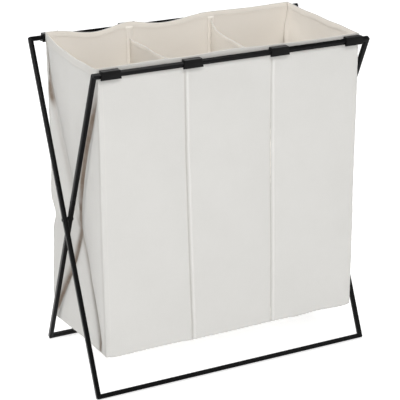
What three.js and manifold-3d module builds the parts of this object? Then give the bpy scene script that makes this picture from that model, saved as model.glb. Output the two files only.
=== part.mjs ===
// Folding three-compartment laundry sorter: two crossed frames of square steel tube that carry one
// fabric bag, clipped to their top rails. Millimetres. +X is the object's right, +Y its back, +Z up.
// The origin is on the floor under the middle of the object.

import * as THREE from 'three';
import { mergeVertices } from 'three/addons/utils/BufferGeometryUtils.js';
import Module from 'manifold-3d';

const wasm = await Module();
wasm.setup();

// ---- Frame ----
const frameWidth = 630; // over the outer frame's legs
const railRise = 674; // bottom rail centre to top rail centre
const topSpread = 312; // front to back, top rail centre to top rail centre
const bottomSpread = 305; // front to back, bottom rail centre to bottom rail centre
const tubeSize = 9.5; // across the flats of the square tube
const tubeWall = 1;
const tubeEdgeRadius = 2; // outside radius of the tube's long edges
const weldCornerRadius = 4; // ground outside corner of each welded mitre
const legGap = 2; // room between an outer leg and the inner leg beside it

// ---- Pivot ----
const rivetRadius = 3;
const rivetHeadRadius = 4.4;
const rivetHeadHeight = 2;
const washerRadius = 4.7;
const pivotClearance = 0.2; // radial, rivet in its holes

// ---- Bag ----
const fabricThickness = 2; // panel cloth with its lining
const bagSideGap = 8; // inner leg to the bag's side
const middleCompartmentWidth = 190; // divider centre to divider centre
const hemAboveRail = 3.4; // top edge of the front and back hems above the rail's highest edge
const hemBelowClip = 5; // bottom edge of those hems below the clips
const hemBendRoom = 1.5; // hem to panel, where the cloth bends as the frame folds
const frontEdgeHeight = 87; // underside of the bag at its front edge
const backEdgeHeight = 57; // underside of the bag at its back edge, where it hangs lower
const sideRimDrop = 4; // top edge of the bag's sides below the hems' top edge
const sideHemThickness = 3;
const gussetDepth = 15; // how far the creased middle of each side is folded inwards
const gussetHeight = 305; // of that middle above the floor
const dividerDrop = 20; // top edge of the dividers below the rail centre

// ---- Clips ----
const clipWidth = 42; // along the rail, at the bottom
const clipTopWidth = 37;
const clipWall = 2; // on the side away from the bag
const clipBagWall = 1.2; // between the rail and the hem sewn to it
const clipRoof = 3; // over the rail's highest edge
const clipBelowRail = 2.4; // bottom of the clip below the rail's lowest edge
const clipCornerInset = 20; // bag's side to the middle of a corner clip
const clipLip = 4.5; // how far the outer wall and its lip reach under the rail
const clipEdge = 0.6; // bevel round the clip's two faces

// ---- General ----
const gap = 0.3; // kept between pieces that touch
const leastRadius = 0.2; // of the tube's inside edges
const arcSteps = 4; // segments in a quarter circle of a tube edge
const roundSteps = 32; // segments in a full circle

// ---- Derived places ----
const tubeHalf = tubeSize / 2;
const lean = Math.atan2((topSpread + bottomSpread) / 2, railRise); // each frame from the vertical
// A leaning rail stands on one rounded edge, so its centre is this high, and reaches as far sideways.
const railReach = (tubeHalf - tubeEdgeRadius) * (Math.cos(lean) + Math.sin(lean)) + tubeEdgeRadius;
const bottomRailZ = railReach;
const topRailZ = bottomRailZ + railRise;
const pivotZ = bottomRailZ + (railRise * bottomSpread) / (bottomSpread + topSpread);
const legBelow = Math.hypot(bottomSpread / 2, pivotZ - bottomRailZ);
const legAbove = Math.hypot(topSpread / 2, topRailZ - pivotZ);
const outerLegX = frameWidth / 2 - tubeHalf;
const innerLegX = outerLegX - tubeSize - legGap;
const holeRadius = rivetRadius + pivotClearance;
const bagHalfWidth = innerLegX - tubeHalf - bagSideGap;
// From a rail's centre, into the bag: the clip's face, and the near and far faces of the cloth.
const clipInner = railReach + gap + clipBagWall;
const clothOuter = clipInner + gap;
const clothInner = clothOuter + fabricThickness;
const bagHalfDepth = topSpread / 2 - clothInner; // inside face of the front and back panels
const clipOuter = railReach + gap + clipWall; // away from the bag
// From a rail's centre, up and down.
const hemRise = railReach + hemAboveRail;
const clipRise = railReach + gap + clipRoof;
const clipDrop = railReach + clipBelowRail;
const hemDrop = clipDrop + hemBelowClip;
const sideRimZ = topRailZ + hemRise - sideRimDrop;
const sidePanelTopZ = topRailZ - clipDrop - gap; // level with the foot of the clips
const sideHemBottomZ = sidePanelTopZ + gap;
const dividerX = middleCompartmentWidth / 2;
const dividerTopZ = topRailZ - dividerDrop;
const cornerClipX = bagHalfWidth - clipCornerInset;

// ---- Materials ----
const powderCoat = { color: 0x1c1c1d, roughness: 0.45, metalness: 0.2 };
const rivetSteel = { color: 0x26272a, roughness: 0.35, metalness: 0.7 };
const blackPlastic = { color: 0x161616, roughness: 0.5, metalness: 0 };
const creamFabric = { color: 0xdedbd4, roughness: 0.95, metalness: 0 };

const model = new THREE.Group();

function addMesh(parent, name, geometry, finish) {
  const mesh = new THREE.Mesh(geometry, new THREE.MeshStandardMaterial(finish));
  mesh.name = name;
  parent.add(mesh);
  return mesh;
}

// ---- Joining and cutting ----
function solidOf(geometry) {
  const bare = geometry.clone();
  bare.deleteAttribute('normal');
  bare.deleteAttribute('uv');
  const merged = mergeVertices(bare, 1e-4);
  return new wasm.Manifold(new wasm.Mesh({
    numProp: 3,
    vertProperties: new Float32Array(merged.attributes.position.array),
    triVerts: new Uint32Array(merged.index.array),
  }));
}

function cut(geometry, ...cutters) {
  let solid = solidOf(geometry);
  for (const cutter of cutters) solid = solid.subtract(solidOf(cutter));
  const mesh = solid.getMesh();
  const result = new THREE.BufferGeometry();
  result.setAttribute('position', new THREE.BufferAttribute(mesh.vertProperties, 3));
  result.setIndex(new THREE.BufferAttribute(mesh.triVerts, 1));
  return result;
}

// ---- Basic shapes ----
function boxBetween(low, high) {
  const size = high.map((value, axis) => value - low[axis]);
  const middle = high.map((value, axis) => (value + low[axis]) / 2);
  return new THREE.BoxGeometry(...size).translate(...middle);
}

// Points of a square with rounded corners, anticlockwise.
function roundedSquare(half, radius) {
  const points = [];
  for (let corner = 0; corner < 4; corner += 1) {
    const turn = (corner * Math.PI) / 2;
    const centre = new THREE.Vector2(half - radius, half - radius).rotateAround(new THREE.Vector2(), turn);
    for (let step = 0; step <= arcSteps; step += 1) {
      const angle = turn + (step / arcSteps) * (Math.PI / 2);
      points.push(new THREE.Vector2(Math.cos(angle), Math.sin(angle)).multiplyScalar(radius).add(centre));
    }
  }
  return points;
}

// A Y-Z outline, drawn as a shape's x and y, made into a bar along X between two values of x.
function barAlongX(points, lowX, highX) {
  const bar = new THREE.ExtrudeGeometry(new THREE.Shape(points), { depth: highX - lowX, bevelEnabled: false });
  const toYZX = new THREE.Matrix4().makeBasis(
    new THREE.Vector3(0, 1, 0),
    new THREE.Vector3(0, 0, 1),
    new THREE.Vector3(1, 0, 0),
  );
  return bar.applyMatrix4(toYZX).translate(lowX, 0, 0);
}

// ---- Frame tubes ----
// Where a tube ends along its own axis, at a height above its centre line. The end is a 45 degree
// mitre, set back by half the gap, and its outside corner is ground to a radius.
function tubeEnd(centreLength, height) {
  const corner = centreLength / 2 - (gap / 2) * Math.SQRT2;
  const fromCorner = height - (tubeHalf - weldCornerRadius);
  if (fromCorner <= 0) return corner + height;
  const offset = Math.sqrt(Math.max(weldCornerRadius ** 2 - fromCorner ** 2, 0));
  return corner + Math.min(height, tubeHalf - weldCornerRadius + offset);
}

// One side of a mitred loop: a hollow square tube along X whose outside, longer face is +Z.
function mitredTube(centreLength) {
  const rings = [
    roundedSquare(tubeHalf, tubeEdgeRadius),
    roundedSquare(tubeHalf - tubeWall, Math.max(tubeEdgeRadius - tubeWall, leastRadius)),
  ];
  const count = rings[0].length;
  const positions = [];
  rings.forEach((ring, inside) => {
    for (const side of [-1, 1]) {
      for (const point of ring) {
        const mitre = centreLength / 2 - (gap / 2) * Math.SQRT2 + point.y;
        const end = inside ? mitre : tubeEnd(centreLength, point.y);
        positions.push(side * end, point.x, point.y);
      }
    }
  });
  const index = [];
  const quad = (a, b, c, d) => index.push(a, b, c, a, c, d);
  const [outerLow, outerHigh, innerLow, innerHigh] = [0, count, 2 * count, 3 * count];
  for (let i = 0; i < count; i += 1) {
    const j = (i + 1) % count;
    quad(outerLow + i, outerLow + j, outerHigh + j, outerHigh + i);
    quad(innerLow + j, innerLow + i, innerHigh + i, innerHigh + j);
    quad(outerHigh + i, outerHigh + j, innerHigh + j, innerHigh + i);
    quad(outerLow + j, outerLow + i, innerLow + i, innerLow + j);
  }
  const tube = new THREE.BufferGeometry();
  tube.setAttribute('position', new THREE.Float32BufferAttribute(positions, 3));
  tube.setIndex(index);
  return tube;
}

// The same tube with the rivet's hole through its outside and inside faces.
function drilledTube(centreLength, holeAt) {
  const drill = new THREE.CylinderGeometry(holeRadius, holeRadius, 2 * tubeSize, roundSteps);
  drill.rotateX(Math.PI / 2).translate(holeAt, 0, 0);
  return cut(mitredTube(centreLength), drill);
}

// Four mitred tubes round a rectangle that leans about the pivot. A positive tilt leans the top forwards.
function addFrame(name, legX, tilt) {
  const frame = new THREE.Group();
  frame.position.set(0, 0, pivotZ);
  frame.rotation.x = tilt;
  model.add(frame);
  const legLength = legAbove + legBelow;
  const legMiddle = (legAbove - legBelow) / 2;
  const topRail = addMesh(frame, `${name}_top_rail`, mitredTube(2 * legX), powderCoat);
  topRail.position.z = legAbove;
  const bottomRail = addMesh(frame, `${name}_bottom_rail`, mitredTube(2 * legX), powderCoat);
  bottomRail.position.z = -legBelow;
  bottomRail.rotation.y = Math.PI;
  for (const [side, sign] of [['left', -1], ['right', 1]]) {
    const leg = addMesh(frame, `${name}_${side}_leg`, drilledTube(legLength, sign * legMiddle), powderCoat);
    leg.position.set(sign * legX, 0, legMiddle);
    leg.rotation.y = (sign * Math.PI) / 2;
  }
}

// ---- Pivot rivets and washers ----
// A rivet along +X, its domed head outside and its set head inside. Zero is the outer leg's centre.
function rivetGeometry() {
  const outerFace = tubeHalf + gap;
  const innerFace = -(tubeSize + legGap + tubeHalf + gap);
  const profile = [new THREE.Vector2(0, innerFace - rivetHeadHeight)];
  const dome = (face, way) => {
    const points = [];
    for (let step = 0; step <= arcSteps; step += 1) {
      const angle = (step / arcSteps) * (Math.PI / 2);
      const radius = rivetHeadRadius * Math.sin(angle);
      points.push(new THREE.Vector2(radius, face + way * rivetHeadHeight * Math.cos(angle)));
    }
    return points;
  };
  profile.push(...dome(innerFace, -1).slice(1));
  profile.push(new THREE.Vector2(rivetRadius, innerFace));
  profile.push(new THREE.Vector2(rivetRadius, outerFace));
  profile.push(...dome(outerFace, 1).reverse());
  return new THREE.LatheGeometry(profile, roundSteps).rotateZ(-Math.PI / 2);
}

function washerGeometry() {
  const half = legGap / 2 - gap;
  const profile = [
    new THREE.Vector2(holeRadius, -half),
    new THREE.Vector2(washerRadius, -half),
    new THREE.Vector2(washerRadius, half),
    new THREE.Vector2(holeRadius, half),
    new THREE.Vector2(holeRadius, -half),
  ];
  return new THREE.LatheGeometry(profile, roundSteps).rotateZ(-Math.PI / 2);
}

function addPivots() {
  for (const [side, sign] of [['left', -1], ['right', 1]]) {
    const pivot = new THREE.Group();
    pivot.position.set(sign * outerLegX, 0, pivotZ);
    pivot.rotation.z = sign < 0 ? Math.PI : 0;
    model.add(pivot);
    addMesh(pivot, `${side}_pivot_rivet`, rivetGeometry(), rivetSteel);
    const washer = addMesh(pivot, `${side}_pivot_washer`, washerGeometry(), blackPlastic);
    washer.position.x = -(tubeHalf + legGap / 2);
  }
}

// ---- Hem clips ----
// A moulded C, sewn to the outside of the hem, that snaps down over the rail. Local +Y points into
// the bag, and zero is the rail's centre. Both faces are wider at the bottom.
function clipGeometry() {
  const face = new THREE.Shape([
    new THREE.Vector2(-clipWidth / 2, -clipDrop),
    new THREE.Vector2(clipWidth / 2, -clipDrop),
    new THREE.Vector2(clipTopWidth / 2, clipRise),
    new THREE.Vector2(-clipTopWidth / 2, clipRise),
  ]);
  const block = new THREE.ExtrudeGeometry(face, {
    depth: clipOuter + clipInner - 2 * clipEdge,
    bevelThickness: clipEdge,
    bevelSize: clipEdge,
    bevelOffset: -clipEdge,
    bevelSegments: 2,
  });
  block.rotateX(Math.PI / 2).translate(0, clipInner - clipEdge, 0);
  const reach = clipWidth; // long enough to pass through both ends
  const railRoom = barAlongX(roundedSquare(tubeHalf + gap, tubeEdgeRadius + gap), -reach, reach);
  railRoom.rotateX(lean);
  const mouth = boxBetween(
    [-reach, clipLip - clipOuter, -2 * clipDrop],
    [reach, railReach + gap, 0],
  );
  return cut(block, railRoom, mouth);
}

function addClips() {
  const places = [
    ['left_corner', -cornerClipX],
    ['left_divider', -dividerX],
    ['right_divider', dividerX],
    ['right_corner', cornerClipX],
  ];
  for (const [end, sign] of [['front', -1], ['back', 1]]) {
    for (const [place, x] of places) {
      const clip = addMesh(model, `${end}_${place}_clip`, clipGeometry(), blackPlastic);
      clip.position.set(x, (sign * topSpread) / 2, topRailZ);
      clip.rotation.z = sign > 0 ? Math.PI : 0;
    }
  }
}

// ---- Bag ----
// Height of the base's top face at a place between the front and back of the bag.
function baseTopZ(y) {
  const share = (y + bagHalfDepth) / (2 * bagHalfDepth);
  return THREE.MathUtils.lerp(frontEdgeHeight, backEdgeHeight, share) + fabricThickness;
}

function addHems() {
  for (const [end, sign] of [['front', -1], ['back', 1]]) {
    const nearRail = sign * (topSpread / 2 - clothOuter);
    const nearBag = sign * bagHalfDepth;
    const hem = boxBetween(
      [-bagHalfWidth, Math.min(nearRail, nearBag), topRailZ - hemDrop],
      [bagHalfWidth, Math.max(nearRail, nearBag), topRailZ + hemRise],
    );
    addMesh(model, `${end}_hem`, hem, creamFabric);
  }
  const hemHalfDepth = bagHalfDepth - gap;
  for (const [side, sign] of [['left', -1], ['right', 1]]) {
    const outside = sign * bagHalfWidth;
    const inside = sign * (bagHalfWidth - sideHemThickness);
    const hem = boxBetween(
      [Math.min(outside, inside), -hemHalfDepth, sideHemBottomZ],
      [Math.max(outside, inside), hemHalfDepth, sideRimZ],
    );
    addMesh(model, `${side}_hem`, hem, creamFabric);
  }
}

function addFrontAndBackPanels() {
  for (const [end, sign, bottom] of [['front', -1, frontEdgeHeight], ['back', 1, backEdgeHeight]]) {
    const nearRail = sign * (topSpread / 2 - clothOuter);
    const nearBag = sign * bagHalfDepth;
    const panel = boxBetween(
      [-bagHalfWidth, Math.min(nearRail, nearBag), bottom],
      [bagHalfWidth, Math.max(nearRail, nearBag), topRailZ - hemDrop - hemBendRoom],
    );
    addMesh(model, `${end}_panel`, panel, creamFabric);
  }
}

// One flat facet of a folded side: a triangle drawn in by half the gap on every edge, thickened
// into the bag.
function foldGeometry(sign, first, second, third) {
  const corners = [first, second, third];
  const opposite = [second.distanceTo(third), third.distanceTo(first), first.distanceTo(second)];
  const perimeter = opposite[0] + opposite[1] + opposite[2];
  const centre = new THREE.Vector3();
  corners.forEach((corner, i) => centre.addScaledVector(corner, opposite[i] / perimeter));
  const inRadius = (2 * new THREE.Triangle(first, second, third).getArea()) / perimeter;
  const positions = [];
  for (const inset of [0, fabricThickness]) {
    for (const corner of corners) {
      const drawnIn = corner.clone().lerp(centre, gap / 2 / inRadius);
      positions.push(drawnIn.x - sign * inset, drawnIn.y, drawnIn.z);
    }
  }
  const index = [0, 1, 2, 3, 5, 4];
  for (const [i, j] of [[0, 1], [1, 2], [2, 0]]) index.push(i, i + 3, j + 3, i, j + 3, j);
  if (sign < 0) index.reverse();
  const fold = new THREE.BufferGeometry();
  fold.setAttribute('position', new THREE.Float32BufferAttribute(positions, 3));
  fold.setIndex(index);
  return fold;
}

// A side is folded inwards to its middle along creases from its four corners.
function addSideFolds() {
  const depth = bagHalfDepth - gap;
  for (const [side, sign] of [['left', -1], ['right', 1]]) {
    const outside = sign * bagHalfWidth;
    const frontLow = new THREE.Vector3(outside, -depth, baseTopZ(-depth) + gap);
    const backLow = new THREE.Vector3(outside, depth, baseTopZ(depth) + gap);
    const backHigh = new THREE.Vector3(outside, depth, sidePanelTopZ);
    const frontHigh = new THREE.Vector3(outside, -depth, sidePanelTopZ);
    const middle = new THREE.Vector3(outside - sign * gussetDepth, 0, gussetHeight);
    const folds = {
      bottom: [frontLow, backLow],
      back: [backLow, backHigh],
      top: [backHigh, frontHigh],
      front: [frontHigh, frontLow],
    };
    for (const [place, [from, to]] of Object.entries(folds)) {
      addMesh(model, `${side}_side_${place}_fold`, foldGeometry(sign, from, to, middle), creamFabric);
    }
  }
}

function addDividers() {
  const depth = bagHalfDepth - gap;
  const outline = [
    new THREE.Vector2(-depth, baseTopZ(-depth) + gap),
    new THREE.Vector2(depth, baseTopZ(depth) + gap),
    new THREE.Vector2(depth, dividerTopZ),
    new THREE.Vector2(-depth, dividerTopZ),
  ];
  for (const [side, x] of [['left', -dividerX], ['right', dividerX]]) {
    const divider = barAlongX(outline, x - fabricThickness / 2, x + fabricThickness / 2);
    addMesh(model, `${side}_divider`, divider, creamFabric);
  }
}

function addBase() {
  const depth = bagHalfDepth - gap;
  const outline = [
    new THREE.Vector2(-depth, baseTopZ(-depth) - fabricThickness),
    new THREE.Vector2(depth, baseTopZ(depth) - fabricThickness),
    new THREE.Vector2(depth, baseTopZ(depth)),
    new THREE.Vector2(-depth, baseTopZ(-depth)),
  ];
  addMesh(model, 'base_panel', barAlongX(outline, -bagHalfWidth, bagHalfWidth), creamFabric);
}

addFrame('outer', outerLegX, -lean);
addFrame('inner', innerLegX, lean);
addPivots();
addClips();
addHems();
addFrontAndBackPanels();
addSideFolds();
addDividers();
addBase();

export default model;
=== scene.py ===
"""Looks of a folding three-compartment laundry sorter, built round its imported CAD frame.

Metres. +X is the object's right, +Y its back, +Z up. The steel frame, rivets, washers and clips are
the CAD's own nodes with better materials. The bag is sewn here from one sheet of cloth a panel.
"""

import math

import bpy
import numpy as np
from mathutils import Matrix, Vector


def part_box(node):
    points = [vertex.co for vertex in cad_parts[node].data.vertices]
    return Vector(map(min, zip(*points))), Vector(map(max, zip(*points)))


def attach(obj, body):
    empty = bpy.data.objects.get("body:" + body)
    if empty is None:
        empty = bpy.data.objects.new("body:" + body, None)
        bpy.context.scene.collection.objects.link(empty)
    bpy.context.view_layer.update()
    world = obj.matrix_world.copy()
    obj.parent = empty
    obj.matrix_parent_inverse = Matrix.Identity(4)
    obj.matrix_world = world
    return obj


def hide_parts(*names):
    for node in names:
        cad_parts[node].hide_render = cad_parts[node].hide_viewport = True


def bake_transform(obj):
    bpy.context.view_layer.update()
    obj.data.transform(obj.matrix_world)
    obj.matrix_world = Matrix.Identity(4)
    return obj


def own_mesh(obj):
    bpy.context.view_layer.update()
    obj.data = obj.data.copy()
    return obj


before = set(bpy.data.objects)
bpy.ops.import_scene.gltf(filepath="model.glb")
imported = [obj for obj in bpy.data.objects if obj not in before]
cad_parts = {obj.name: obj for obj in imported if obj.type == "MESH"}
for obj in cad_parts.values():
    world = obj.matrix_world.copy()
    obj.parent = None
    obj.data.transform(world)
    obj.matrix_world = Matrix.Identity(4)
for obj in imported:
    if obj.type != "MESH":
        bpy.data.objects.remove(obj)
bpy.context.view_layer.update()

# ---- Bodies and joints of the frame ----
OUTER, INNER, BAG_BACK, BAG_FRONT = "outer_frame", "inner_frame", "bag_back", "bag_front"
FRAME_OF = {-1: INNER, 1: OUTER}  # the frame whose top rail carries the front (-1) or back (1)
BAG_OF = {-1: BAG_FRONT, 1: BAG_BACK}
END_NAMES = {-1: "front", 1: "back"}
SIDE_NAMES = {-1: "left", 1: "right"}

# ---- Places taken from the CAD nodes ----
panel_low, panel_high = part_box("front_panel")
back_low, back_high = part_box("back_panel")
hem_low, hem_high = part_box("front_hem")
side_hem_low, side_hem_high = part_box("left_hem")
divider_low, divider_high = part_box("right_divider")
HALF_WIDTH = panel_high.x
OUTSIDE = back_high.y  # outside face of the back panel; the front one mirrors it
INSIDE = back_low.y
SHEET_Y = (OUTSIDE + INSIDE) / 2
HEM_TOP, HEM_BOTTOM = hem_high.z, hem_low.z
SIDE_RIM = side_hem_high.z
EDGE_Z = {-1: panel_low.z, 1: back_low.z}  # underside of the bag at the front and the back
DIVIDER_X = (divider_low.x + divider_high.x) / 2
DIVIDER_TOP = divider_high.z
BAYS = ((-HALF_WIDTH, -DIVIDER_X), (-DIVIDER_X, DIVIDER_X), (DIVIDER_X, HALF_WIDTH))

# ---- Cloth ----
CLOTH = 0.0009  # thickness of one layer
HEM_CLOTH = 0.0006  # of the turned-over layer that makes a hem
INNER_HEM = 0.0115  # how far a hem hangs down inside the bag
GRID = 0.005  # spacing of the cloth's vertices
CORNER = 0.006  # radius where the front and back turn into the sides
BELLY = 0.0030  # how far each compartment stands out between its seams
GROOVE = {-1: 0.0030, 1: 0.0012}  # depth of the furrow along a divider's seam, front and back
GROOVE_WIDTH = 0.0021  # how far from the seam the furrow reaches
TAPE = 0.0078  # half the width of the tape inside a divider's seam
WEAVE = 0.0009  # pitch of the threads
STITCH, STITCH_GAP, THREAD = 0.0028, 0.0008, 0.00024  # length, gap and radius of one stitch
STITCH_SIDES = 6  # corners of a thread's section
STITCH_INSET = 0.0030  # how far above a hem's raw edge its stitches run
SIDE_HEM = 0.0010  # half the thickness of the hem on a side
DIVIDER_HEM, DIVIDER_HEM_DROP = 0.0008, 0.008  # half the thickness and the height of a divider's

# ---- Folded sides ----
GUSSET = 0.015  # depth of the creased middle of each side
GUSSET_Z = 0.305  # its height
GUSSET_Y = 0.010  # how far its middle lies behind the bag's
TRENCH, TRENCH_WIDTH = 0.0045, 0.0065  # extra depth of the pressed creases, and half their width
CREASES = {
    # places (y, z) down each crease of a side, front (-1) or back (1), which all meet at its middle
    ("upper", -1): ((-0.147, 0.670), (-0.100, 0.581), (-0.045, 0.477), (-0.005, 0.400)),
    ("upper", 1): ((0.143, 0.620), (0.137, 0.590), (0.121, 0.545), (0.098, 0.503), (0.071, 0.446)),
    ("lower", -1): ((-0.115, 0.086), (-0.101, 0.119), (-0.080, 0.176), (-0.047, 0.216)),
    ("lower", 1): ((0.147, 0.057), (0.086, 0.159), (0.054, 0.205), (0.035, 0.247)),
}


def cubic_through(places):
    """Coefficients of the cubic y(z) nearest to some places (y, z)."""
    return np.polyfit([z for _, z in places], [y for y, _ in places], 3)


CREASE_CURVES = {key: cubic_through(run + ((GUSSET_Y, GUSSET_Z),)) for key, run in CREASES.items()}

# ---- Camera, lights and floor ----
CAMERA_PLACE = (-1.2646, -2.5891, 1.4478)
CAMERA_AZIMUTH, CAMERA_ELEVATION, CAMERA_ROLL = (math.radians(a) for a in (25.956, 21.255, -0.394))
CAMERA_LENS, CAMERA_SENSOR = 131.04, 36  # millimetres
BAG_MIDDLE = (0, 0, 0.35)
LIGHTS = {
    # place, what it points at, its two sizes and its power
    "key": ((-0.9, -2.8, 2.5), BAG_MIDDLE, (1.2, 1.2), 56),
    "fill": ((1.9, -2.6, 1.2), BAG_MIDDLE, (2.0, 1.8), 12),
    "left": ((-3.0, 0.3, 1.5), BAG_MIDDLE, (1.2, 1.2), 20),
    "top": ((0, 0.4, 3.4), (0, 0, 0), (2.4, 2.4), 62),
    "back": ((0.8, 3.2, 2.0), (0, 0, 0.3), (2.4, 1.6), 30),
}
WORLD_LIGHT = 0.22
FLOOR_HALF = 14.0


# ---------------------------------------------------------------- small helpers
def smooth(low, high, value):
    t = np.clip((value - low) / (high - low), 0, 1)
    return t * t * (3 - 2 * t)


def hump(value, middle, width):
    return np.exp(-(((value - middle) / width) ** 2))


def wobble(u, v, size_u, size_v, seed, count=7):
    """Smooth unevenness between about -1 and 1, the same each run."""
    random = np.random.default_rng(seed)
    total = 0.0
    for _ in range(count):
        a, b = random.normal(0, 1, 2)
        total = total + np.sin(2 * np.pi * (a * u / size_u + b * v / size_v) + random.uniform(0, 6.28))
    return total / math.sqrt(count)


def link(obj):
    bpy.context.scene.collection.objects.link(obj)
    return obj


def mesh_object(name, points, faces, cloth=None, painted_light_and_shade=None):
    """A mesh; cloth is each vertex's place on the flat cloth, and the next argument how much painted shade
    its colour gets there in creases and furrows, below 0 for a painted highlight along a raised edge."""
    mesh = bpy.data.meshes.new(name)
    mesh.from_pydata([tuple(p) for p in points], [], [tuple(f) for f in faces])
    if painted_light_and_shade is not None:
        attribute = mesh.attributes.new("painted_light_and_shade", "FLOAT", "POINT")
        attribute.data.foreach_set("value", np.asarray(painted_light_and_shade, np.float32).ravel())
    if cloth is not None:
        attribute = mesh.attributes.new("cloth", "FLOAT_VECTOR", "POINT")
        attribute.data.foreach_set("vector", np.asarray(cloth, np.float32).ravel())
    mesh.polygons.foreach_set("use_smooth", [True] * len(mesh.polygons))
    mesh.update()
    return link(bpy.data.objects.new(name, mesh))


def grid_faces(rows, columns, loop=False):
    """Quads between rows of points, closed round each row for a loop."""
    faces = []
    last = columns if loop else columns - 1
    for i in range(rows - 1):
        for j in range(last):
            k = (j + 1) % columns
            faces.append((i * columns + j, i * columns + k, (i + 1) * columns + k, (i + 1) * columns + j))
    return faces


def steps(low, high, spacing=GRID):
    return np.linspace(low, high, max(2, int(round((high - low) / spacing)) + 1))


def with_lines(values, places, spread=0.0099):
    """The same run of values with more of them near a few places, where the cloth is creased."""
    extra = [p + d for p in places for d in np.linspace(-spread, spread, 15)]
    inside = [x for x in extra if values[0] < x < values[-1]]
    kept = [x for x in values if all(abs(x - p) > spread for p in places)]
    return np.array(sorted(set(np.round(kept + inside, 6))))


def sheet_object(name, us, vs, place, flip=False, painted_light_and_shade=None):
    """A sheet over a grid of u and v in metres; place gives x, y and z of its middle surface."""
    u, v = np.meshgrid(us, vs)
    x, y, z = place(u, v)
    points = np.stack([x.ravel(), y.ravel(), z.ravel()], 1)
    faces = grid_faces(len(vs), len(us))
    if flip:
        faces = [f[::-1] for f in faces]
    obj = mesh_object(name, points, faces, cloth_places(u, v), None if painted_light_and_shade is None else painted_light_and_shade(u, z))
    solid = obj.modifiers.new("thickness", "SOLIDIFY")
    solid.thickness = CLOTH
    solid.offset = 0
    solid.use_rim = True
    return obj


def lengths_along(path):
    """Distance along a path to each of its points."""
    return np.concatenate([[0], np.cumsum(np.linalg.norm(np.diff(path, axis=0), axis=1))])


def cloth_places(u, v):
    return np.stack([u.ravel(), v.ravel(), np.full(u.size, 0.5 * WEAVE)], 1)


def band_places(along, across):
    """Places on the flat cloth of a strip with one ring of points for each length along it."""
    return cloth_places(np.repeat(along, len(across)), np.tile(across, len(along)))


def set_cloth(obj, places):
    obj.data.attributes["cloth"].data.foreach_set("vector", places.astype(np.float32).ravel())


def sweep(name, path, sections):
    """A closed skin through sections, one a path point, each a list of offsets from that point."""
    path = np.asarray(path, float)
    rings = np.asarray(sections, float) + path[:, None, :]
    count = rings.shape[1]
    faces = grid_faces(len(path), count, loop=True)
    faces.append(tuple(range(count))[::-1])
    faces.append(tuple((len(path) - 1) * count + k for k in range(count)))
    across = np.arange(count) * 0.001
    return mesh_object(name, rings.reshape(-1, 3), faces, band_places(lengths_along(path), across))


def join(name, objects):
    """One object out of several plain meshes."""
    points, faces, cloth, base = [], [], [], 0
    for obj in objects:
        mesh = obj.data
        points += [tuple(v.co) for v in mesh.vertices]
        faces += [tuple(base + i for i in p.vertices) for p in mesh.polygons]
        found = np.zeros(3 * len(mesh.vertices), np.float32)
        mesh.attributes["cloth"].data.foreach_get("vector", found)
        cloth.append(found.reshape(-1, 3))
        base += len(mesh.vertices)
        bpy.data.objects.remove(obj)
    return mesh_object(name, points, faces, np.concatenate(cloth))


def dress(obj, material, inside=None):
    """Gives a piece its material, and the far face of a sheet the inside cloth if one is named, which
    carries painted bounce light.
    """
    obj.data.materials.clear()
    obj.data.materials.append(material)
    if inside is not None:
        obj.data.materials.append(inside)
        obj.modifiers["thickness"].material_offset = 1
    return obj


def flatten(obj):
    """The piece follows the back of the bag, with a mesh of its own."""
    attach(obj, BAG_BACK)
    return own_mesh(obj)


def hang(obj):
    """Bakes the piece's placement into its mesh."""
    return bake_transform(obj)


# ---------------------------------------------------------------- camera, lights and floor
def add_camera():
    """The camera the photo was taken with, as fitted to the frames' corners."""
    flat = math.cos(CAMERA_ELEVATION)
    ahead, across = math.cos(CAMERA_AZIMUTH) * flat, math.sin(CAMERA_AZIMUTH) * flat
    look = Vector((across, ahead, -math.sin(CAMERA_ELEVATION)))
    right = look.cross(Vector((0, 0, 1))).normalized()
    up = right.cross(look)
    rolled_right = math.cos(CAMERA_ROLL) * right + math.sin(CAMERA_ROLL) * up
    rolled_up = math.cos(CAMERA_ROLL) * up - math.sin(CAMERA_ROLL) * right
    turn = Matrix((rolled_right, rolled_up, -look)).transposed()
    data = bpy.data.cameras.new("camera")
    data.lens = CAMERA_LENS
    data.sensor_width = CAMERA_SENSOR
    data.clip_start, data.clip_end = 0.1, 60
    camera = link(bpy.data.objects.new("camera", data))
    camera.matrix_world = Matrix.Translation(CAMERA_PLACE) @ turn.to_4x4()
    bpy.context.scene.camera = camera


def add_area_light(name, place, target, size, power):
    data = bpy.data.lights.new(name, "AREA")
    data.shape = "RECTANGLE"
    data.size, data.size_y = size
    data.energy = power
    light = link(bpy.data.objects.new(name, data))
    light.location = place
    light.rotation_euler = (Vector(target) - Vector(place)).to_track_quat("-Z", "Y").to_euler()


def add_studio():
    for name, (place, target, size, power) in LIGHTS.items():
        add_area_light(name, place, target, size, power)
    world = bpy.data.worlds.new("studio")
    bpy.context.scene.world = world
    world.use_nodes = True
    background = world.node_tree.nodes["Background"]
    background.inputs["Color"].default_value = (1, 1, 1, 1)
    background.inputs["Strength"].default_value = WORLD_LIGHT
    bpy.context.scene.view_settings.view_transform = "Standard"


def add_floor():
    """A pale floor that also glows a little, as a white sweep lit from below does."""
    corners = ((-1, -1), (1, -1), (1, 1), (-1, 1))
    floor = mesh_object("floor", [(a * FLOOR_HALF, b * FLOOR_HALF, 0) for a, b in corners], [(0, 1, 2, 3)])
    material, _, shader = new_material("floor_paint")
    shader.inputs["Base Color"].default_value = (0.70, 0.70, 0.70, 1)
    shader.inputs["Roughness"].default_value = 0.9
    shader.inputs["Specular IOR Level"].default_value = 0.1
    shader.inputs["Emission Color"].default_value = (1, 1, 1, 1)
    shader.inputs["Emission Strength"].default_value = 0.60
    floor.data.materials.append(material)


# ---------------------------------------------------------------- materials
def new_material(name):
    material = bpy.data.materials.new(name)
    material.use_nodes = True
    return material, material.node_tree, material.node_tree.nodes["Principled BSDF"]


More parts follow.
